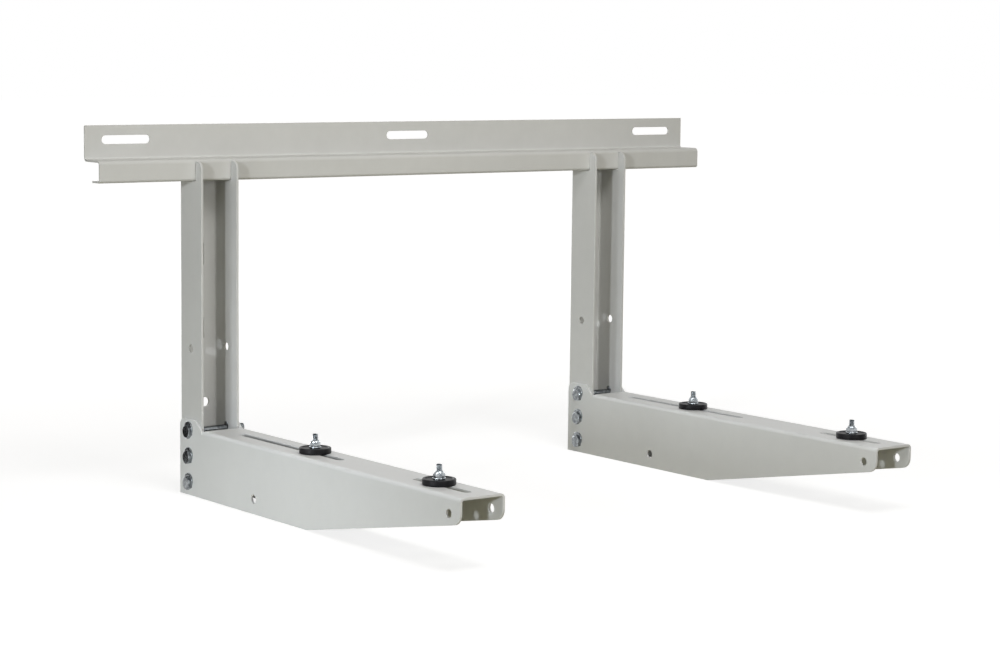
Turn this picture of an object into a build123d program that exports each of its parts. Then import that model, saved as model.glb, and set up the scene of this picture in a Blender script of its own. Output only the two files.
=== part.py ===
from build123d import *
import os

# A wall bracket for the outdoor unit of an air conditioner, in millimetres.
# A folded rail is screwed to the wall. Two folded uprights hook on its face and lip and slide along it.
# Each carries a folded arm on three through-bolts, and each arm has two rubber mounts clamped in its slots.
# The rail runs along X, the wall is the plane y = 0 with +Y going into it, and the arms point to -Y.
# The origin is on the wall, at the middle of the rail, on the line of its slots.

# Rail, folded from one strip
rail_length = 800
rail_sheet = 2.0
rail_inner_bend = 2.5
lip_inner_bend = 1.0
plate_edge_height = 15
shelf_drop = 20
shelf_reach = 34
face_height = 23
lip_width = 16.5
wall_slot_count = 3
wall_slot_length = 56
wall_slot_width = 9
wall_slot_margin = 19.5

# Uprights, folded channels that are open to the front
upright_length = 350
upright_width = 45
upright_depth = 46
upright_sheet = 2.5
upright_inner_bend = 2.0
ear_radius = 9.5
tooth_radius = 3.0
hook_clearance = 0.3
anchor_slot_count = 2
anchor_slot_length = 30
anchor_slot_width = 11
anchor_slot_drop = 100
anchor_slot_pitch = 79
foot_slot_length = 23
foot_slot_width = 10
foot_slot_drop = 258.5
side_hole_diameter = 9
side_hole_drop = 197.5

# Arms, folded channels that are open below
arm_reach = 515
arm_wall_gap = 4.5
arm_height = 71.5
arm_nose_height = 24.5
arm_straight = 255
arm_sheet = 2.5
arm_inner_bend = 2.0
arm_side_clearance = 0.2
arm_below_upright = 3.0
web_clearance = 4.0
nose_radius = 11.5
cheek_rise = 9.5
cheek_flat = 32.5
cheek_slope = 11
cheek_radius = 8
relief_radius = 1.5
rear_slot_start = 85
rear_slot_length = 197
front_slot_length = 87.5
front_slot_margin = 20.5
pad_slot_width = 8.5
nose_hole_diameter = 8.5
nose_hole_margin = 18
nose_hole_drop = 16.5
belly_hole_diameter = 9
belly_hole_reach = 155

# Through-bolts
bolt_count = 3
bolt_diameter = 8.0
bolt_length = 65
bolt_hole_diameter = 9
bolt_line = 23.5
bolt_pitch = 27.5
bolt_edge = 15.5
head_across_flats = 13
head_height = 5.3
nut_across_flats = 13
nut_height = 6.8
washer_diameter = 16
washer_thickness = 1.6

# Rubber mounts
pad_diameter = 32
pad_thickness = 6.0
pad_rim = 2.5
pad_dish = 0.8
pad_bore = 6.6
pad_bolt_diameter = 6.0
pad_bolt_length = 24
pad_head_across_flats = 10
pad_head_height = 4.0
pad_nut_across_flats = 10
pad_nut_height = 4.0
pad_nut_collar_diameter = 8.8
pad_nut_collar_height = 2.0
pad_washer_diameter = 12
pad_washer_thickness = 1.6
slot_washer_diameter = 18
slot_washer_thickness = 2.0

# Shared by both sizes of fastener
washer_bore_clearance = 0.2
thread_clearance = 0.05

# How near an edge must lie to a plane to count as being on it
touch = 0.01

# Where the uprights stand, from the ends of the rail to their middles, and the mounts,
# the rear ones from the wall end of the rear slot and the front ones from the nose end of the front slot
left_upright_inset = 133.5
right_upright_inset = 143.5
left_rear_pad_inset = 147
left_front_pad_inset = 48.5
right_rear_pad_inset = 115
right_front_pad_inset = 41.5

# Levels that follow from the sizes above
shelf_top = -shelf_drop
lip_underside = shelf_top - face_height
upright_top = shelf_top - rail_sheet - hook_clearance
upright_bottom = upright_top - upright_length
arm_bottom = upright_bottom - arm_below_upright
web_top = arm_bottom + arm_height
web_underside = web_top - arm_sheet
web_start = upright_depth + web_clearance
arm_inner_width = upright_width + 2 * arm_side_clearance
arm_outer_width = arm_inner_width + 2 * arm_sheet
bolt_levels = [arm_bottom + bolt_edge + i * bolt_pitch for i in range(bolt_count)]
front_slot_tip = arm_reach - front_slot_margin
upright_places = {
    "left": -rail_length / 2 + left_upright_inset,
    "right": rail_length / 2 - right_upright_inset,
}
pad_reaches = {
    "left": {
        "rear": rear_slot_start + left_rear_pad_inset,
        "front": front_slot_tip - left_front_pad_inset,
    },
    "right": {
        "rear": rear_slot_start + right_rear_pad_inset,
        "front": front_slot_tip - right_front_pad_inset,
    },
}


def save(piece, name):
    piece.part.label = name
    export_step(piece.part, f"parts/{name}.step")


def folded_strip(points, radii, sheet):
    # a strip's section: the middle of the sheet runs through the points, with its bends on the given radii
    with BuildSketch(mode=Mode.PRIVATE) as section:
        with BuildLine():
            FilletPolyline(*points, radius=radii)
        trace(line_width=sheet)
    return section.sketch


def make_rail():
    half_sheet = rail_sheet / 2
    bend = rail_inner_bend + half_sheet
    lip_bend = lip_inner_bend + half_sheet
    face_middle = -shelf_reach + half_sheet
    lip_middle = lip_underside + half_sheet
    section = folded_strip(
        [
            (-half_sheet, plate_edge_height),
            (-half_sheet, shelf_top - half_sheet),
            (face_middle, shelf_top - half_sheet),
            (face_middle, lip_middle),
            (-shelf_reach + lip_width, lip_middle),
        ],
        [bend, bend, lip_bend],
        rail_sheet,
    )
    slot_run = rail_length - 2 * wall_slot_margin - wall_slot_length
    with BuildPart() as rail:
        with BuildSketch(Plane.YZ):
            add(section)
        extrude(amount=rail_length / 2, both=True)
        with BuildSketch(Plane.XZ):
            with GridLocations(slot_run / (wall_slot_count - 1), 0, wall_slot_count, 1):
                SlotOverall(wall_slot_length, wall_slot_width)
        extrude(amount=rail_sheet, mode=Mode.SUBTRACT)
    return rail


def make_upright(place):
    # the slit behind the ear takes the rail's face, and the slot behind it takes the lip,
    # which leaves a tooth in each flange that hangs over the lip
    half_sheet = upright_sheet / 2
    flange_middle = upright_width / 2 - half_sheet
    slit_front = shelf_reach + hook_clearance
    slit_back = shelf_reach - rail_sheet - hook_clearance
    lip_slot_back = shelf_reach - lip_width - hook_clearance
    lip_slot_top = lip_underside + rail_sheet + hook_clearance
    lip_slot_bottom = lip_underside - hook_clearance
    section = folded_strip(
        [
            (-flange_middle, upright_depth),
            (-flange_middle, half_sheet),
            (flange_middle, half_sheet),
            (flange_middle, upright_depth),
        ],
        upright_inner_bend + half_sheet,
        upright_sheet,
    )
    # seen from above, with the section's second direction pointing away from the wall
    top_plane = Plane(origin=(place, 0, upright_top), x_dir=(-1, 0, 0), z_dir=(0, 0, 1))
    side_plane = Plane.YZ.offset(place)
    wall_plane = Plane(origin=(place, 0, upright_top), x_dir=(1, 0, 0), z_dir=(0, -1, 0))
    with BuildPart() as upright:
        with BuildSketch(top_plane):
            add(section)
        extrude(amount=-upright_length)
        with BuildSketch(side_plane):
            with BuildLine():
                Polyline(
                    (-slit_front, upright_top),
                    (-slit_front, lip_slot_bottom),
                    (-lip_slot_back, lip_slot_bottom),
                    (-lip_slot_back, lip_slot_top),
                    (-slit_back, lip_slot_top),
                    (-slit_back, upright_top),
                    close=True,
                )
            make_face()
        extrude(amount=upright_width / 2, both=True, mode=Mode.SUBTRACT)
        # the ear's corner, and the tooth's two corners that face the rail's bends
        ear_corners = upright.edges().filter_by(Axis.X).group_by(Axis.Y)[0].group_by(Axis.Z)[-1]
        fillet(ear_corners, ear_radius)
        tooth_corners = upright.edges().filter_by(Axis.X).filter_by_position(
            Axis.Y, -slit_back - touch, -slit_back + touch
        )
        fillet(tooth_corners, tooth_radius)
        with BuildSketch(wall_plane):
            with Locations((0, -anchor_slot_drop - (anchor_slot_count - 1) * anchor_slot_pitch / 2)):
                with GridLocations(0, anchor_slot_pitch, 1, anchor_slot_count):
                    SlotOverall(anchor_slot_length, anchor_slot_width, rotation=90)
            with Locations((0, -foot_slot_drop)):
                SlotOverall(foot_slot_length, foot_slot_width)
        extrude(amount=upright_sheet, mode=Mode.SUBTRACT)
        with BuildSketch(side_plane):
            with Locations((-bolt_line, upright_top - side_hole_drop)):
                Circle(side_hole_diameter / 2)
            with Locations(*[(-bolt_line, level) for level in bolt_levels]):
                Circle(bolt_hole_diameter / 2)
        extrude(amount=upright_width / 2, both=True, mode=Mode.SUBTRACT)
    return upright


def make_arm(place):
    half_sheet = arm_sheet / 2
    plate_middle = arm_outer_width / 2 - half_sheet
    section = folded_strip(
        [
            (-plate_middle, arm_bottom),
            (-plate_middle, web_top - half_sheet),
            (plate_middle, web_top - half_sheet),
            (plate_middle, arm_bottom),
        ],
        arm_inner_bend + half_sheet,
        arm_sheet,
    )
    side_plane = Plane.YZ.offset(place)
    front_plane = Plane(origin=(place, -web_start, 0), x_dir=(1, 0, 0), z_dir=(0, -1, 0))
    top_plane = Plane(origin=(place, 0, web_top), x_dir=(1, 0, 0), z_dir=(0, 0, 1))
    cheek_top = web_top + cheek_rise
    slope_start = arm_wall_gap + cheek_flat
    slope_end = slope_start + cheek_slope
    rear_slot_middle = rear_slot_start + rear_slot_length / 2
    front_slot_middle = front_slot_tip - front_slot_length / 2
    with BuildPart() as arm:
        # the channel, cut to the tapered outline of its sides
        with BuildSketch(front_plane):
            add(section)
        extrude(amount=arm_reach - web_start)
        with BuildSketch(side_plane) as outline:
            with BuildLine():
                Polyline(
                    (-web_start, web_top),
                    (-arm_reach, web_top),
                    (-arm_reach, web_top - arm_nose_height),
                    (-arm_straight, arm_bottom),
                    (-web_start, arm_bottom),
                    close=True,
                )
            make_face()
            nose_corner = outline.vertices().group_by(Axis.X)[0].sort_by(Axis.Y)[0]
            fillet(nose_corner, nose_radius)
        extrude(amount=arm_outer_width / 2, both=True, mode=Mode.INTERSECT)
        # the two cheeks that stand beside the upright
        for plate_plane in (
            side_plane.offset(-arm_outer_width / 2),
            side_plane.offset(arm_outer_width / 2 - arm_sheet),
        ):
            with BuildSketch(plate_plane) as cheek:
                with BuildLine():
                    Polyline(
                        (-arm_wall_gap, arm_bottom),
                        (-arm_wall_gap, cheek_top),
                        (-slope_start, cheek_top),
                        (-slope_end, web_top),
                        (-web_start, web_top),
                        (-web_start, arm_bottom),
                        close=True,
                    )
                make_face()
                cheek_corner = cheek.vertices().group_by(Axis.X)[-1].sort_by(Axis.Y)[-1]
                fillet(cheek_corner, cheek_radius)
            extrude(amount=arm_sheet)
        # slots in the top, and the holes through both sides
        with BuildSketch(top_plane):
            with Locations((0, -rear_slot_middle)):
                SlotOverall(rear_slot_length, pad_slot_width, rotation=90)
            with Locations((0, -front_slot_middle)):
                SlotOverall(front_slot_length, pad_slot_width, rotation=90)
        extrude(amount=-arm_sheet, mode=Mode.SUBTRACT)
        with BuildSketch(side_plane):
            with Locations(*[(-bolt_line, level) for level in bolt_levels]):
                Circle(bolt_hole_diameter / 2)
            with Locations((-arm_reach + nose_hole_margin, web_top - nose_hole_drop)):
                Circle(nose_hole_diameter / 2)
            with Locations((-belly_hole_reach, bolt_levels[0])):
                Circle(belly_hole_diameter / 2)
            # a round relief at the inner end of each bend, where the cheek begins
            with Locations((-web_start, web_top)):
                Circle(relief_radius)
        extrude(amount=arm_outer_width / 2, both=True, mode=Mode.SUBTRACT)
    return arm


def make_bolt(seat, across_flats, head, diameter, length):
    # the seat's plane is the underside of the head, and the shank points along its normal
    with BuildPart() as bolt:
        with BuildSketch(seat):
            RegularPolygon(across_flats / 2, 6, major_radius=False)
        extrude(amount=-head)
        with BuildSketch(seat):
            Circle(diameter / 2)
        extrude(amount=length)
    return bolt


def make_nut(seat, across_flats, height, diameter, collar_diameter=0, collar_height=0):
    # a lock nut also has a round collar on top of its hexagon
    with BuildPart() as nut:
        with BuildSketch(seat):
            RegularPolygon(across_flats / 2, 6, major_radius=False)
        extrude(amount=height)
        if collar_height > 0:
            with BuildSketch(seat):
                Circle(collar_diameter / 2)
            extrude(amount=height + collar_height)
        with BuildSketch(seat):
            Circle(diameter / 2 + thread_clearance)
        extrude(amount=height + collar_height, mode=Mode.SUBTRACT)
    return nut


def make_washer(seat, outer_diameter, bolt_through, thickness):
    with BuildPart() as washer:
        with BuildSketch(seat):
            Circle(outer_diameter / 2)
            Circle(bolt_through / 2 + washer_bore_clearance, mode=Mode.SUBTRACT)
        extrude(amount=thickness)
    return washer


def make_pad(place, reach):
    # a turned rubber disc with a dished top inside a low rim
    rim_inner = pad_diameter / 2 - pad_rim
    section_plane = Plane(origin=(place, -reach, web_top), x_dir=(1, 0, 0), z_dir=(0, -1, 0))
    with BuildPart() as pad:
        with BuildSketch(section_plane):
            with BuildLine():
                Polyline(
                    (pad_bore / 2, 0),
                    (pad_diameter / 2, 0),
                    (pad_diameter / 2, pad_thickness),
                    (rim_inner, pad_thickness),
                    (rim_inner - pad_dish, pad_thickness - pad_dish),
                    (pad_bore / 2, pad_thickness - pad_dish),
                    close=True,
                )
            make_face()
        revolve(axis=Axis((place, -reach, web_top), (0, 0, 1)))
    return pad


os.makedirs("parts", exist_ok=True)
save(make_rail(), "rail")

for side, place in upright_places.items():
    save(make_upright(place), f"{side}_upright")
    save(make_arm(place), f"{side}_arm")

    # through-bolts: head and washer on the left plate, washer and nut on the right one
    plate_reach = arm_outer_width / 2
    for row, level in zip(("bottom", "middle", "top"), bolt_levels):
        left_face = Plane(origin=(place - plate_reach, -bolt_line, level), x_dir=(0, 0, 1), z_dir=(-1, 0, 0))
        right_face = Plane(origin=(place + plate_reach, -bolt_line, level), x_dir=(0, 0, 1), z_dir=(1, 0, 0))
        head_underside = left_face.offset(washer_thickness)
        head_seat = Plane(origin=head_underside.origin, x_dir=(0, 0, 1), z_dir=(1, 0, 0))
        nut_seat = right_face.offset(washer_thickness)
        head_washer = make_washer(left_face, washer_diameter, bolt_diameter, washer_thickness)
        bolt = make_bolt(head_seat, head_across_flats, head_height, bolt_diameter, bolt_length)
        nut_washer = make_washer(right_face, washer_diameter, bolt_diameter, washer_thickness)
        nut = make_nut(nut_seat, nut_across_flats, nut_height, bolt_diameter)
        save(head_washer, f"{side}_{row}_head_washer")
        save(bolt, f"{side}_{row}_bolt")
        save(nut_washer, f"{side}_{row}_nut_washer")
        save(nut, f"{side}_{row}_nut")

    # rubber mounts: bolt and washer inside the arm, pad, washer and nut on top of it
    for end, reach in pad_reaches[side].items():
        below = Plane(origin=(place, -reach, web_underside), x_dir=(1, 0, 0), z_dir=(0, 0, -1))
        head_seat = Plane(origin=(place, -reach, web_underside - slot_washer_thickness))
        dish = Plane(origin=(place, -reach, web_top + pad_thickness - pad_dish))
        nut_seat = dish.offset(pad_washer_thickness)
        slot_washer = make_washer(below, slot_washer_diameter, pad_bolt_diameter, slot_washer_thickness)
        pad_bolt = make_bolt(
            head_seat, pad_head_across_flats, pad_head_height, pad_bolt_diameter, pad_bolt_length
        )
        pad_washer = make_washer(dish, pad_washer_diameter, pad_bolt_diameter, pad_washer_thickness)
        lock_nut = make_nut(
            nut_seat,
            pad_nut_across_flats,
            pad_nut_height,
            pad_bolt_diameter,
            pad_nut_collar_diameter,
            pad_nut_collar_height,
        )
        save(slot_washer, f"{side}_{end}_slot_washer")
        save(pad_bolt, f"{side}_{end}_pad_bolt")
        save(make_pad(place, reach), f"{side}_{end}_pad")
        save(pad_washer, f"{side}_{end}_pad_washer")
        save(lock_nut, f"{side}_{end}_pad_nut")
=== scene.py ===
from math import cos, pi, radians, tan

import bmesh
import bpy
from mathutils import Matrix, Vector


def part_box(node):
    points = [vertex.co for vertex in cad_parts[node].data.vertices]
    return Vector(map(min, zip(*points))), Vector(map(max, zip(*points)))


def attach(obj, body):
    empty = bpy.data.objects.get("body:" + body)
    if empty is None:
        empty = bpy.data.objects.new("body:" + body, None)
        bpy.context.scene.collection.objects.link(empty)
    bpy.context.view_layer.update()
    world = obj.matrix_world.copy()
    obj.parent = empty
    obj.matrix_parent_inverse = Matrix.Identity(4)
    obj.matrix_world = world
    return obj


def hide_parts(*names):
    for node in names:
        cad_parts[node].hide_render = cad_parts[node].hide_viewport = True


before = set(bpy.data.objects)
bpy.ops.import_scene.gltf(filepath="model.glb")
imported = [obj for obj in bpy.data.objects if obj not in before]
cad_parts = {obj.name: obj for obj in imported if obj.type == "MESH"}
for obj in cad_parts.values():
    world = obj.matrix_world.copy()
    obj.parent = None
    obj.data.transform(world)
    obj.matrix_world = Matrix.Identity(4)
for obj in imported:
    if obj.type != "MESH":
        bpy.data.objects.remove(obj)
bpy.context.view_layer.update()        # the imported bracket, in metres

mm = 0.001
hair = 0.01 * mm


# camera, solved from the photograph before anything else is made

camera = {
    "place": (-1.6043, -2.3410, 0.1071),
    "lens": 91.25,
    "sensor": 36,
    "yaw": 36.578,       # degrees to the right of straight at the wall
    "pitch": 6.622,      # degrees down
    "roll": 0.638,
    "sees": (0.05, 60),       # from how near to how far, in metres
}


def addCamera():
    bpy.ops.object.camera_add(location=camera["place"])
    shot = bpy.context.object
    shot.name = "photoCamera"
    yaw = Matrix.Rotation(radians(-camera["yaw"]), 4, "Z")
    pitch = Matrix.Rotation(radians(90 - camera["pitch"]), 4, "X")
    roll = Matrix.Rotation(radians(camera["roll"]), 4, "Z")
    turn = yaw @ pitch @ roll
    shot.matrix_world = Matrix.Translation(camera["place"]) @ turn
    shot.data.sensor_width = camera["sensor"]
    shot.data.lens = camera["lens"]
    shot.data.clip_start, shot.data.clip_end = camera["sees"]
    bpy.context.scene.camera = shot


addCamera()
print("camera set")


# shader wiring

class Reading:
    # a value in a material, so that sums and products of values can be written as plain maths
    def __init__(self, finish, socket):
        self.finish = finish
        self.socket = socket

    def maths(self, operation, first, second):
        return self.finish.add("ShaderNodeMath", {"operation": operation}, {0: first, 1: second})

    def __add__(self, other):
        return self.maths("ADD", self, other)

    def __radd__(self, other):
        return self.maths("ADD", other, self)

    def __sub__(self, other):
        return self.maths("SUBTRACT", self, other)

    def __rsub__(self, other):
        return self.maths("SUBTRACT", other, self)

    def __mul__(self, other):
        return self.maths("MULTIPLY", self, other)

    def __rmul__(self, other):
        return self.maths("MULTIPLY", other, self)


class Finish:
    # one node tree, of a material or of the world
    def __init__(self, owner):
        owner.use_nodes = True
        self.owner = owner
        self.tree = owner.node_tree
        self.tree.nodes.clear()

    def add(self, kind, settings=None, sockets=None, out=0):
        node = self.tree.nodes.new(kind)
        for name, value in (settings or {}).items():
            if name == "stops":       # a colour ramp's two stops, as position and grey level
                for stop, (position, level) in zip(node.color_ramp.elements, value):
                    stop.position = position
                    stop.color = (level, level, level, 1)
            else:
                setattr(node, name, value)
        for name, value in (sockets or {}).items():
            if isinstance(name, int):
                plug = node.inputs[name]
            else:
                plug = next(s for s in node.inputs if name in (s.identifier, s.name))
            if isinstance(value, Reading):
                self.tree.links.new(value.socket, plug)
            else:
                plug.default_value = value
        return Reading(self, node.outputs[out])

    def place(self, scale=(1, 1, 1), turn=(0, 0, 0)):
        coordinates = self.add("ShaderNodeTexCoord", out=3)
        return self.add("ShaderNodeMapping", None, {
            "Vector": coordinates, "Scale": scale, "Rotation": turn})

    def noise(self, where, scale, detail, roughness=0.5):
        return self.add("ShaderNodeTexNoise", None, {
            "Vector": where, "Scale": scale, "Detail": detail, "Roughness": roughness})

    def ramp(self, value, stops):
        return self.add("ShaderNodeValToRGB", {"stops": stops}, {"Fac": value})

    def blend(self, share, first, second):
        return self.add("ShaderNodeMix", {"data_type": "RGBA"}, {
            "Factor_Float": share, "A_Color": first, "B_Color": second}, out=2)

    def bump(self, height, strength, distance, under=None):
        sockets = {"Height": height, "Strength": strength, "Distance": distance}
        if under is not None:
            sockets["Normal"] = under
        return self.add("ShaderNodeBump", None, sockets)

    def end(self, shader, kind="ShaderNodeOutputMaterial"):
        node = self.tree.nodes.new(kind)
        self.tree.links.new(shader.socket, node.inputs["Surface"])
        return self.owner


# finishes: sizes of patterns are counted per metre

powder = {
    "rail": ((0.60, 0.60, 0.58, 1), (0.565, 0.565, 0.545, 1)),        # light and deep tone
    "upright": ((0.60, 0.603, 0.59, 1), (0.565, 0.568, 0.555, 1)),
    # painted light: the arms' copy of the one powder is made lighter, standing in for more light falling on
    # the arms
    "arm": ((0.69, 0.70, 0.70, 1), (0.66, 0.67, 0.67, 1)),
    "speck": (0.42, 0.42, 0.39, 1),
    "speckShare": 0.10,
    "roughness": 0.42,
    "sheen": 0.25,
    "driftSize": 7,
    "cloudSize": 60,
    "speckSize": 1500,
    "peelSize": 900,      # ripples of the baked coat
    "peelDepth": 0.4 * mm,
    "grainSize": 5200,
    "grainDepth": 0.1 * mm,
}


def powderCoat(name):
    light, deep = powder[name]
    coat = Finish(bpy.data.materials.new(name + "Coat"))
    where = coat.place()
    drift = coat.noise(where, powder["driftSize"], 3)
    cloud = coat.noise(where, powder["cloudSize"], 3, 0.6)
    peel = coat.noise(where, powder["peelSize"], 2, 0.45)
    grain = coat.noise(where, powder["grainSize"], 1)
    tone = coat.ramp(drift * 0.6 + cloud * 0.4, [(0.35, 0.0), (0.65, 1.0)])
    colour = coat.blend(tone, deep, light)
    specks = coat.ramp(coat.noise(where, powder["speckSize"], 1), [(0.70, 0.0), (0.76, 1.0)])
    colour = coat.blend(specks * powder["speckShare"], colour, powder["speck"])
    gloss = (cloud - 0.5) * 0.10 + (peel - 0.5) * 0.08 + powder["roughness"]
    ripple = coat.bump(peel, 0.16, powder["peelDepth"])
    skin = coat.bump(grain, 0.10, powder["grainDepth"], ripple)
    shader = coat.add("ShaderNodeBsdfPrincipled", None, {
        "Base Color": colour, "Roughness": gloss, "Normal": skin, "Specular IOR Level": powder["sheen"]})
    return coat.end(shader)


zinc = {
    "bright": ((0.48, 0.51, 0.53, 1), (0.20, 0.22, 0.24, 1)),      # light and dull tone
    # painted reflection: a darker copy of the same zinc, standing in for the dark room that the through-bolt
    # heads mirror
    "paintedDark": ((0.33, 0.35, 0.36, 1), (0.14, 0.15, 0.16, 1)),
    "roughness": 0.24,
    "stainSize": 260,
    "gritSize": 2600,
    "drawnSize": 3000,       # marks of the drawn wire, long in one direction
    "drawnStretch": (1, 1, 0.08),
    "drawnTurn": (0.3, 0.5, 0.2),
    "depth": 0.1 * mm,
}


def zincPlate(name):
    light, dull = zinc[name]
    plate = Finish(bpy.data.materials.new(name + "Zinc"))
    where = plate.place()
    stain = plate.noise(where, zinc["stainSize"], 4, 0.6)
    grit = plate.noise(where, zinc["gritSize"], 2)
    drawn = plate.noise(plate.place(zinc["drawnStretch"], zinc["drawnTurn"]), zinc["drawnSize"], 2)
    tone = plate.ramp(stain, [(0.36, 0.0), (0.62, 1.0)])
    colour = plate.blend(tone, dull, light)
    gloss = (stain - 0.5) * 0.18 + (drawn - 0.5) * 0.16 + zinc["roughness"]
    lines = plate.bump(drawn, 0.10, zinc["depth"])
    skin = plate.bump(grit, 0.12, zinc["depth"], lines)
    shader = plate.add("ShaderNodeBsdfPrincipled", None, {
        "Base Color": colour, "Metallic": 1.0, "Roughness": gloss, "Normal": skin})
    return plate.end(shader)


rubber = {
    "dark": (0.005, 0.005, 0.006, 1),
    "worn": (0.014, 0.014, 0.015, 1),
    "roughness": 0.42,
    "sheen": 0.12,
    "bloomSize": 140,
    "grainSize": 2400,
    "depth": 0.1 * mm,
}


def mouldedRubber(name):
    skin = Finish(bpy.data.materials.new(name))
    where = skin.place()
    bloom = skin.noise(where, rubber["bloomSize"], 4, 0.6)
    grain = skin.noise(where, rubber["grainSize"], 2)
    tone = skin.ramp(bloom, [(0.40, 0.0), (0.70, 1.0)])
    colour = skin.blend(tone, rubber["dark"], rubber["worn"])
    gloss = (bloom - 0.5) * 0.25 + (grain - 0.5) * 0.10 + rubber["roughness"]
    relief = skin.bump(grain, 0.15, rubber["depth"])
    shader = skin.add("ShaderNodeBsdfPrincipled", None, {
        "Base Color": colour, "Roughness": gloss, "Normal": relief, "Specular IOR Level": rubber["sheen"]})
    return skin.end(shader)


railCoat = powderCoat("rail")
uprightCoat = powderCoat("upright")
armCoatPaintedLight = powderCoat("arm")
brightZinc = zincPlate("bright")
paintedDarkZinc = zincPlate("paintedDark")
rubberSkin = mouldedRubber("rubberSkin")
print("finishes made")


# modelling helpers

weld = {"line": 1e-7, "shell": 1e-6, "sheet": 2e-6}       # how near two points count as one, in metres


def letGo():
    if bpy.context.mode != "OBJECT":
        bpy.ops.object.mode_set(mode="OBJECT")
    bpy.ops.object.select_all(action="DESELECT")


def hold(piece):
    letGo()
    piece.select_set(True)
    bpy.context.view_layer.objects.active = piece


def pickPoints(piece, test):
    # in edit mode, selects the points that pass the test by their place
    bpy.ops.mesh.select_mode(type="VERT")
    bpy.ops.mesh.select_all(action="DESELECT")
    mesh = bmesh.from_edit_mesh(piece.data)
    for point in mesh.verts:
        if test(point.co):
            point.select_set(True)
    mesh.select_flush_mode()
    bmesh.update_edit_mesh(piece.data)


def modify(piece, kind, **settings):
    # a modifier with these settings, applied at once
    hold(piece)
    step = piece.modifiers.new(kind.lower(), kind)
    for name, value in settings.items():
        setattr(step, name, value)
    bpy.ops.object.modifier_apply(modifier=step.name)


def cutWith(piece, tool, operation):
    modify(piece, "BOOLEAN", object=tool, operation=operation, solver="EXACT")
    bpy.data.objects.remove(tool)


def smooth(piece, angle):
    hold(piece)
    bpy.ops.object.shade_smooth_by_angle(angle=radians(angle))


def drawLine(name, points):
    # a line of points in the XZ plane, pulled out of one point as by hand
    letGo()
    bpy.ops.mesh.primitive_plane_add(size=10 * mm)
    piece = bpy.context.object
    piece.name = name
    bpy.ops.object.mode_set(mode="EDIT")
    bpy.ops.mesh.merge(type="CENTER")
    bpy.ops.mesh.select_mode(type="VERT")
    bpy.ops.mesh.select_all(action="SELECT")
    x, z = points[0]
    bpy.ops.transform.translate(value=(x, 0, z))
    for nextX, nextZ in points[1:]:
        bpy.ops.mesh.extrude_vertices_move(
            TRANSFORM_OT_translate={"value": (nextX - x, 0, nextZ - z)})
        x, z = nextX, nextZ
    return piece


def spinRound(steps):
    # in edit mode, spins the line once round Z and closes the shell
    bpy.ops.mesh.select_all(action="SELECT")
    bpy.ops.mesh.spin(steps=steps, angle=2 * pi, center=(0, 0, 0), axis=(0, 0, 1))
    bpy.ops.mesh.select_all(action="SELECT")
    bpy.ops.mesh.remove_doubles(threshold=weld["shell"])
    bpy.ops.mesh.normals_make_consistent(inside=False)


def turned(name, points, steps=64, closed=False):
    # a line spun once round Z, like a piece on a lathe
    piece = drawLine(name, points + points[:1] if closed else points)
    bpy.ops.mesh.select_all(action="SELECT")
    bpy.ops.mesh.remove_doubles(threshold=weld["line"])
    spinRound(steps)
    bpy.ops.object.mode_set(mode="OBJECT")
    return piece


# folded sheet: the rail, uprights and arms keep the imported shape, with softened edges

sheet = {
    "edge": 0.35 * mm,     # rounding of the punched edges under the coat
    "edgeOver": 50,        # degrees at which an edge is a punched one, and not a facet of a bend
    "flatUnder": 0.4,      # degrees under which two facets are one flat
    "smoothUnder": 32,
}


def dressSheet(node, body, material):
    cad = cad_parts[node]
    piece = bpy.data.objects.new(node + "_coated", cad.data.copy())
    bpy.context.collection.objects.link(piece)
    hold(piece)
    bpy.ops.object.mode_set(mode="EDIT")
    bpy.ops.mesh.select_all(action="SELECT")
    bpy.ops.mesh.remove_doubles(threshold=weld["sheet"])
    bpy.ops.mesh.select_all(action="SELECT")
    bpy.ops.mesh.dissolve_limited(angle_limit=radians(sheet["flatUnder"]))
    bpy.ops.object.mode_set(mode="OBJECT")
    modify(piece, "BEVEL", width=sheet["edge"], segments=2, limit_method="ANGLE",
           angle_limit=radians(sheet["edgeOver"]), use_clamp_overlap=False)
    smooth(piece, sheet["smoothUnder"])
    modify(piece, "WEIGHTED_NORMAL", keep_sharp=True)
    piece.data.materials.clear()
    piece.data.materials.append(material)
    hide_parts(node)
    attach(piece, body)


dressSheet("rail", "rail", railCoat)
for side in ("left", "right"):
    dressSheet(side + "_upright", side + "_bracket", uprightCoat)
    # the arms take the lighter coat, which is painted light
    dressSheet(side + "_arm", side + "_bracket", armCoatPaintedLight)
print("rail, uprights and arms coated")


# fasteners, modelled once along Z with the seat at zero, then copied

cut = {
    "past": 1 * mm,              # how far a tool or an overlap reaches beyond a face
    "steps": 96,                 # round the pieces that show best
    "countersink": 0.6 * mm,     # at the mouths of a nut's bore
    "smoothUnder": 28,           # degrees
}
past, countersink = cut["past"], cut["countersink"]

hexagon = {
    "turnedFlat": 0.95,       # the flat left on a turned end, as a share of the width across flats
    "spare": 1.01,            # the turning is that much wider than the corners
}


def hexBlock(name, acrossFlats, bottom, top, bothEnds=True):
    # a hexagonal bar whose lower end, and mostly its upper end, is turned to a shallow cone
    corner = acrossFlats / 2 / cos(pi / 6)
    inner = acrossFlats / 2 * hexagon["turnedFlat"]
    rise = (corner - inner) * tan(pi / 6)
    wide = corner * hexagon["spare"]
    letGo()
    bpy.ops.mesh.primitive_cylinder_add(
        vertices=6, radius=corner, depth=top - bottom, location=(0, 0, (top + bottom) / 2))
    block = bpy.context.object
    block.name = name
    upperEnd = [(wide, top - rise), (inner, top)] if bothEnds else [(wide, top)]
    line = [(0, bottom), (inner, bottom), (wide, bottom + rise)] + upperEnd + [(0, top)]
    cutWith(block, turned("turning", line, cut["steps"]), "INTERSECT")
    return block


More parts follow.
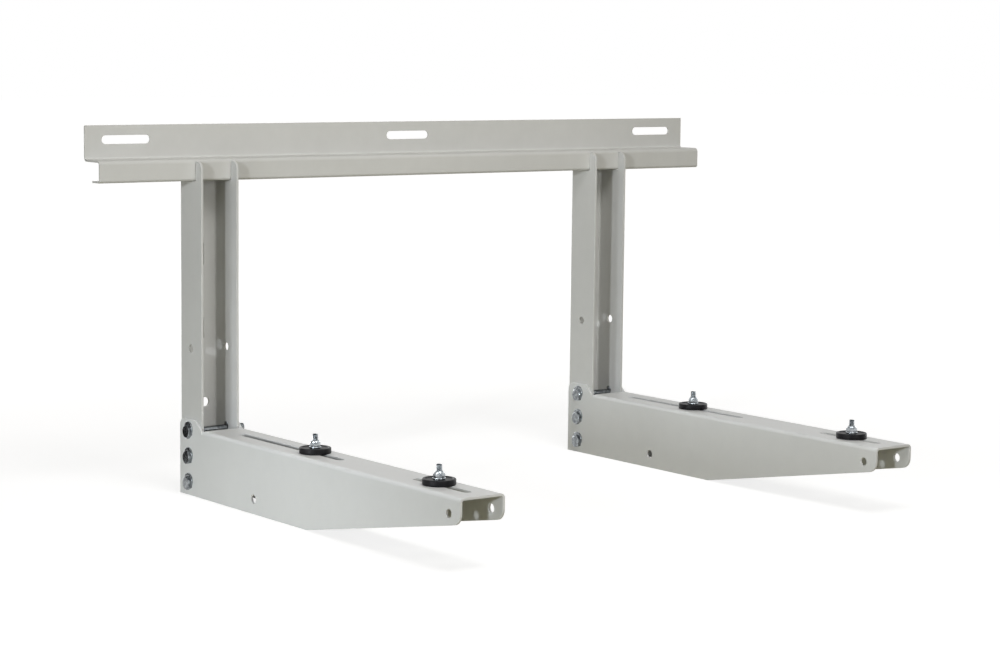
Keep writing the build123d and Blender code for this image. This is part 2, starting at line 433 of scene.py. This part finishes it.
threadForm = {
    "depth": 0.6134,                          # as a share of the pitch
    "flanks": (0.06, 0.44, 0.56, 0.94),       # where the flanks start and end along one pitch
    "steps": 28,                              # in one turn
    "lead": 2,                                # turns below the start, cut away afterwards
    "spareTurns": 5,
    "spare": 1.02,                            # the tip's turning is that much wider than the crest
}


def threadedRod(name, diameter, pitch, start, end, chamfer):
    # one turn's outline, swept up a helix, cut square at both ends and turned down at the tip
    crest = diameter / 2
    root = crest - threadForm["depth"] * pitch
    below = start - threadForm["lead"] * pitch
    turns = int((end - start) / pitch) + threadForm["spareTurns"]
    climb, crestStart, crestEnd, fall = (below + share * pitch for share in threadForm["flanks"])
    rod = drawLine(name, [
        (root, below), (root, climb), (crest, crestStart),
        (crest, crestEnd), (root, fall), (root, below + pitch)])
    bpy.ops.object.mode_set(mode="OBJECT")
    modify(rod, "SCREW", axis="Z", angle=2 * pi, screw_offset=pitch, iterations=turns,
           steps=threadForm["steps"], render_steps=threadForm["steps"],
           use_merge_vertices=True, merge_threshold=weld["shell"])
    bpy.ops.object.mode_set(mode="EDIT")
    bpy.ops.mesh.select_all(action="SELECT")
    bpy.ops.mesh.remove_doubles(threshold=weld["shell"])
    for level, direction in ((start, -1), (end, 1)):
        bpy.ops.mesh.select_all(action="SELECT")
        bpy.ops.mesh.bisect(plane_co=(0, 0, level), plane_no=(0, 0, direction),
                            use_fill=True, clear_outer=True)
    bpy.ops.mesh.select_all(action="SELECT")
    bpy.ops.mesh.normals_make_consistent(inside=False)
    bpy.ops.object.mode_set(mode="OBJECT")
    wide = crest * threadForm["spare"]
    tip = turned("turning", [
        (0, start - pitch), (wide, start - pitch), (wide, end - chamfer),
        (wide - chamfer, end - hair), (0, end - hair)])
    cutWith(rod, tip, "INTERSECT")
    return rod


throughBolt = {
    "acrossFlats": 13 * mm, "head": 5.3 * mm, "diameter": 8 * mm, "pitch": 1.25 * mm,
    "plain": 43 * mm, "runOut": 0.5 * mm, "neck": 0.9, "length": 65 * mm, "chamfer": 0.8 * mm,
}
padBolt = {       # threaded all the way
    "acrossFlats": 10 * mm, "head": 4 * mm, "diameter": 6 * mm, "pitch": 1.0 * mm,
    "plain": 0, "length": 24 * mm, "chamfer": 0.7 * mm,
}


def makeBolt(name, size):
    bolt = hexBlock(name, size["acrossFlats"], -size["head"], 0, bothEnds=False)
    radius, plain = size["diameter"] / 2, size["plain"]
    if plain > 0:
        neck, threadStart = radius * size["neck"], plain + size["runOut"]
        shank = turned("shank", [
            (0, -past), (radius, -past), (radius, plain), (neck, threadStart), (0, threadStart)])
        cutWith(bolt, shank, "UNION")
    thread = threadedRod("thread", size["diameter"], size["pitch"], plain - past,
                         size["length"], size["chamfer"])
    cutWith(bolt, thread, "UNION")
    smooth(bolt, cut["smoothUnder"])
    return bolt


throughNut = {"acrossFlats": 13 * mm, "height": 6.8 * mm, "bore": 7.4 * mm}


def makeNut(name, size):
    bore, height = size["bore"] / 2, size["height"]
    mouth = bore + countersink
    nut = hexBlock(name, size["acrossFlats"], 0, height)
    hole = turned("hole", [
        (0, -past), (mouth + past, -past), (mouth, 0), (bore, countersink),
        (bore, height - countersink), (mouth, height), (mouth + past, height + past), (0, height + past)])
    cutWith(nut, hole, "DIFFERENCE")
    smooth(nut, cut["smoothUnder"])
    return nut


padNut = {
    "acrossFlats": 10 * mm, "height": 4 * mm, "bore": 5.5 * mm,
    "collar": 8.8 * mm, "collarHeight": 2 * mm,
    "rolled": ((0, 0.9 * mm), (0.25 * mm, 0.35 * mm), (0.7 * mm, 0)),       # in and down from its edge
    "mouth": 7.4 * mm, "mouthDepth": 0.5 * mm,
}


def makeLockNut(name, size):
    # a hexagon with a turned collar on top, rolled in round a wider mouth
    height = size["height"]
    nut = hexBlock(name, size["acrossFlats"], 0, height)
    outer, top = size["collar"] / 2, height + size["collarHeight"]
    rolled = [(outer - inward, top - down) for inward, down in size["rolled"]]
    collar = turned("collar", [(0, height - past), (outer, height - past)] + rolled + [(0, top)])
    cutWith(nut, collar, "UNION")
    bore, upperMouth = size["bore"] / 2, size["mouth"] / 2
    lowerMouth = bore + countersink
    hole = turned("hole", [
        (0, -past), (lowerMouth + past, -past), (lowerMouth, 0), (bore, countersink),
        (bore, top - countersink), (upperMouth, top - size["mouthDepth"]),
        (upperMouth, top + past), (0, top + past)])
    cutWith(nut, hole, "DIFFERENCE")
    smooth(nut, cut["smoothUnder"])
    return nut


throughWasher = {"bore": 8.4 * mm, "outer": 16 * mm, "thick": 1.6 * mm}
padWasher = {"bore": 6.4 * mm, "outer": 12 * mm, "thick": 1.6 * mm}
slotWasher = {"bore": 6.4 * mm, "outer": 18 * mm, "thick": 2 * mm}
washerEdge = {
    "sharp": 0.1 * mm,
    "roll": 0.35 * mm,
    "rollMiddle": 0.3,       # how far in the roll's middle point lies, as a share of the roll
    "smoothUnder": 50,
}


def makeWasher(name, size):
    # a punched ring: one side keeps a small roll, the other a sharper edge
    inner, outer, thick = size["bore"] / 2, size["outer"] / 2, size["thick"]
    sharp, roll = washerEdge["sharp"], washerEdge["roll"]
    middle = roll * washerEdge["rollMiddle"]
    ring = turned(name, [
        (inner, sharp), (inner + sharp, 0), (outer - sharp, 0), (outer, sharp),
        (outer, thick - roll), (outer - middle, thick - middle), (outer - roll, thick),
        (inner + roll, thick), (inner + middle, thick - middle), (inner, thick - roll),
    ], cut["steps"], closed=True)
    smooth(ring, washerEdge["smoothUnder"])
    return ring


pad = {
    "bore": 6.6 * mm, "outer": 32 * mm, "thick": 6 * mm, "rim": 2.5 * mm, "dish": 0.8 * mm,
    "rimRound": 0.9 * mm,
    "dishRound": 0.5 * mm,
    "foot": 0.02 * mm,       # clear of the arm by a hair, so that it slides free
    "smoothUnder": 40,
}


def makePad(name):
    # the rubber disc: a rounded rim stands round a dished top
    bore, outer, thick, foot = pad["bore"] / 2, pad["outer"] / 2, pad["thick"], pad["foot"]
    rimInner, dishEdge, dishLevel = outer - pad["rim"], outer - pad["rim"] - pad["dish"], thick - pad["dish"]
    near = 0.1 * mm
    disc = drawLine(name, [
        (bore, foot), (outer, foot), (outer, thick), (rimInner, thick),
        (dishEdge, dishLevel), (bore, dishLevel), (bore, foot)])
    bpy.ops.mesh.select_all(action="SELECT")
    bpy.ops.mesh.remove_doubles(threshold=weld["line"])
    pickPoints(disc, lambda place: place.x > outer - hair)
    bpy.ops.mesh.bevel(offset=pad["rimRound"], segments=5, affect="VERTICES")
    pickPoints(disc, lambda place: dishEdge - near < place.x < rimInner + near)
    bpy.ops.mesh.bevel(offset=pad["dishRound"], segments=4, affect="VERTICES")
    spinRound(cut["steps"])
    smooth(disc, pad["smoothUnder"])
    return disc


masters = {
    "bolt": makeBolt("boltMaster", throughBolt),
    "nut": makeNut("nutMaster", throughNut),
    "washer": makeWasher("washerMaster", throughWasher),
    "padBolt": makeBolt("padBoltMaster", padBolt),
    "padNut": makeLockNut("padNutMaster", padNut),
    "padWasher": makeWasher("padWasherMaster", padWasher),
    "slotWasher": makeWasher("slotWasherMaster", slotWasher),
    "pad": makePad("padMaster"),
}
print("one of each fastener and pad modelled")


def copyTo(master, name, matrix, body, material):
    # another of a finished piece, with its own mesh and its place in that mesh
    piece = master.copy()
    piece.data = master.data.copy()
    piece.name = name
    piece.data.transform(matrix)
    piece.data.materials.clear()
    piece.data.materials.append(material)
    bpy.context.collection.objects.link(piece)
    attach(piece, body)
    return piece


def setPiece(master, node, body, place, axis, turn, material=brightZinc):
    # puts a copy where its node is: the seat's middle, the way it points and how far it is turned
    aim = Vector(axis).to_track_quat("Z", "Y").to_matrix().to_4x4()
    matrix = Matrix.Translation(place) @ aim @ Matrix.Rotation(radians(turn), 4, "Z")
    piece = copyTo(masters[master], node + "_piece", matrix, body, material)
    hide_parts(node)


stance = {       # degrees by which each hexagon and washer happens to be turned
    "left": (4, 17, -9),        # through-bolts, from the bottom up
    "right": (12, -4, 22),
    "padBolt": 11,
    "rear": 20,                 # nuts and washers of the mounts
    "front": -8,
}
rightward, leftward, upward = (1, 0, 0), (-1, 0, 0), (0, 0, 1)


def setThroughBolt(side, row, turn):
    body, stem = side + "_bracket", side + "_" + row + "_"
    low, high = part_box(stem + "bolt")
    y, z = (low.y + high.y) / 2, (low.z + high.z) / 2
    seat = low.x + throughBolt["head"]
    # the bolt and its head washer take the darker zinc, a painted reflection
    setPiece("bolt", stem + "bolt", body, (seat, y, z), rightward, turn, paintedDarkZinc)
    low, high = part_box(stem + "head_washer")
    setPiece("washer", stem + "head_washer", body, (high.x, y, z), leftward, 0, paintedDarkZinc)
    low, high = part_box(stem + "nut_washer")
    setPiece("washer", stem + "nut_washer", body, (low.x, y, z), rightward, 0)
    low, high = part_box(stem + "nut")
    setPiece("nut", stem + "nut", body, (low.x, y, z), rightward, turn * 2 + 7)


def setMount(side, end):
    stem = side + "_" + end + "_"
    body = stem + "mount"
    low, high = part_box(stem + "pad_bolt")
    x, y = (low.x + high.x) / 2, (low.y + high.y) / 2
    seat = low.z + padBolt["head"]
    setPiece("padBolt", stem + "pad_bolt", body, (x, y, seat), upward, stance["padBolt"])
    for master, node in (("slotWasher", "slot_washer"), ("padWasher", "pad_washer"), ("padNut", "pad_nut")):
        low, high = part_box(stem + node)
        setPiece(master, stem + node, body, (x, y, low.z), upward, stance[end])
    low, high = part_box(stem + "pad")
    setPiece("pad", stem + "pad", body, (x, y, low.z), upward, 0, rubberSkin)


for side in ("left", "right"):
    for row, turn in zip(("bottom", "middle", "top"), stance[side]):
        setThroughBolt(side, row, turn)
    for end in ("rear", "front"):
        setMount(side, end)
for master in masters.values():
    bpy.data.objects.remove(master)
print("fasteners and pads set in place")


# studio: pale floor, white room, a small key and a low lamp from the left, and soft light from
# the front, above, behind and the right

studio = {
    "floorLevel": -0.3755,
    "floorSize": 30,
    "floorTints": ((0.33, 0.33, 0.33, 1), (0.35, 0.35, 0.35, 1)),
    "speckleSize": 40,
    "glowReach": 4,       # metres over which the floor's own glow rises
    "glow": [(0.12, 0.80), (0.55, 1.0)],       # how bright it is at these shares of that reach
    "bounce": (0.37, 0.345, 0.22, 1),        # the floor, as it lights the bracket
    "shade": (0.05, 0.04, 0.016, 1),        # the room, as it does
    "felt": (0.02, 0.02, 0.02, 1),
}


def seenRay(finish):
    # 1 on rays from the camera, off gloss and through glass, and 0 on those that light the bracket
    camera, glossy, through = (finish.add("ShaderNodeLightPath", out=kind) for kind in (0, 3, 6))
    return camera + glossy + through


def addFloor():
    letGo()
    bpy.ops.mesh.primitive_plane_add(size=studio["floorSize"], location=(0, 0, studio["floorLevel"]))
    floor = bpy.context.object
    floor.name = "floor"
    paint = Finish(bpy.data.materials.new("paleFloor"))
    where = paint.place()
    tint = paint.blend(paint.noise(where, studio["speckleSize"], 3), *studio["floorTints"])
    away = paint.add("ShaderNodeVectorMath", {"operation": "LENGTH"}, {0: where}, out=1)
    glow = paint.ramp(away * (1 / studio["glowReach"]), studio["glow"])
    seen = paint.add("ShaderNodeBsdfPrincipled", None, {
        "Base Color": tint, "Roughness": 1.0, "Specular IOR Level": 0.0,
        "Emission Color": glow, "Emission Strength": 1.0})
    bounce = paint.add("ShaderNodeBsdfPrincipled", None, {
        "Base Color": studio["bounce"], "Roughness": 1.0, "Specular IOR Level": 0.0})
    mixed = paint.add("ShaderNodeMixShader", None, {0: seenRay(paint), 1: bounce, 2: seen})
    floor.data.materials.append(paint.end(mixed))


def addSurround():
    world = bpy.data.worlds.new("whiteRoom")
    bpy.context.scene.world = world
    room = Finish(world)
    white = room.add("ShaderNodeBackground", None, {"Color": (1, 1, 1, 1), "Strength": 1.0})
    shade = room.add("ShaderNodeBackground", None, {"Color": studio["shade"], "Strength": 1.0})
    mixed = room.add("ShaderNodeMixShader", None, {0: seenRay(room), 1: shade, 2: white})
    room.end(mixed, "ShaderNodeOutputWorld")


def addFlag(name, place, size):
    # a dark card outside the picture, which shows only in reflections
    letGo()
    bpy.ops.mesh.primitive_plane_add(size=1, location=place, rotation=(pi / 2, 0, 0))
    card = bpy.context.object
    card.name = name
    card.scale = (size[0], size[1], 1)
    felt = Finish(bpy.data.materials.new(name + "Felt"))
    cloth = felt.add("ShaderNodeBsdfPrincipled", None, {
        "Base Color": studio["felt"], "Roughness": 1.0, "Specular IOR Level": 0.0})
    card.data.materials.append(felt.end(cloth))
    card.visible_camera = card.visible_diffuse = card.visible_shadow = False


# each lamp's place, what it points at, its size, power and colour, and its spread in degrees
lamps = {
    "keyLamp": ((-4.9, -2.75, 0.75), (-0.1, -0.1, -0.15), (0.3, 0.3), 92, (0.95, 0.985, 1.03), 180),
    "frontSoft": ((-0.24, -2.2, 0.2), (-0.06, -0.1, -0.05), (0.5, 0.5), 2.35, (1, 0.995, 0.985), 90),
    "highFront": ((-0.25, -1.0, 1.2), (-0.05, -0.1, -0.1), (0.8, 0.6), 12.5, (1, 0.995, 0.985), 180),
    "topSoft": ((0, 0.1, 2.0), (0, 0, -0.15), (2.0, 2.0), 3, (1, 1, 1), 180),
    "lowLeft": ((-1.5, -0.45, -0.25), (-0.29, -0.2, -0.34), (0.3, 0.2), 0.52, (0.94, 0.99, 1.04), 50),
    "backSoft": ((0.2, 2.4, 0.35), (0, 0, -0.15), (1.2, 1.0), 21, (1, 1, 1), 180),
    "rightSoft": ((2.5, 0.15, 0.1), (0.1, 0.05, -0.2), (0.9, 0.9), 16, (1, 1, 1), 180),
}


def addLamp(name, place, target, size, power, colour, spread):
    bpy.ops.object.light_add(type="AREA", location=place)
    lamp = bpy.context.object
    lamp.name = name
    lamp.rotation_euler = (Vector(target) - Vector(place)).to_track_quat("-Z", "Y").to_euler()
    lamp.data.shape = "RECTANGLE"
    lamp.data.size, lamp.data.size_y = size
    lamp.data.energy = power
    lamp.data.color = colour
    lamp.data.spread = radians(spread)
    lamp.visible_camera = False


addFloor()
addSurround()
addFlag("leftFlag", (-0.52, 0.12, -0.25), (0.36, 0.25))
for name, settings in lamps.items():
    addLamp(name, *settings)
bpy.context.scene.view_settings.view_transform = "Standard"
print("studio lit")
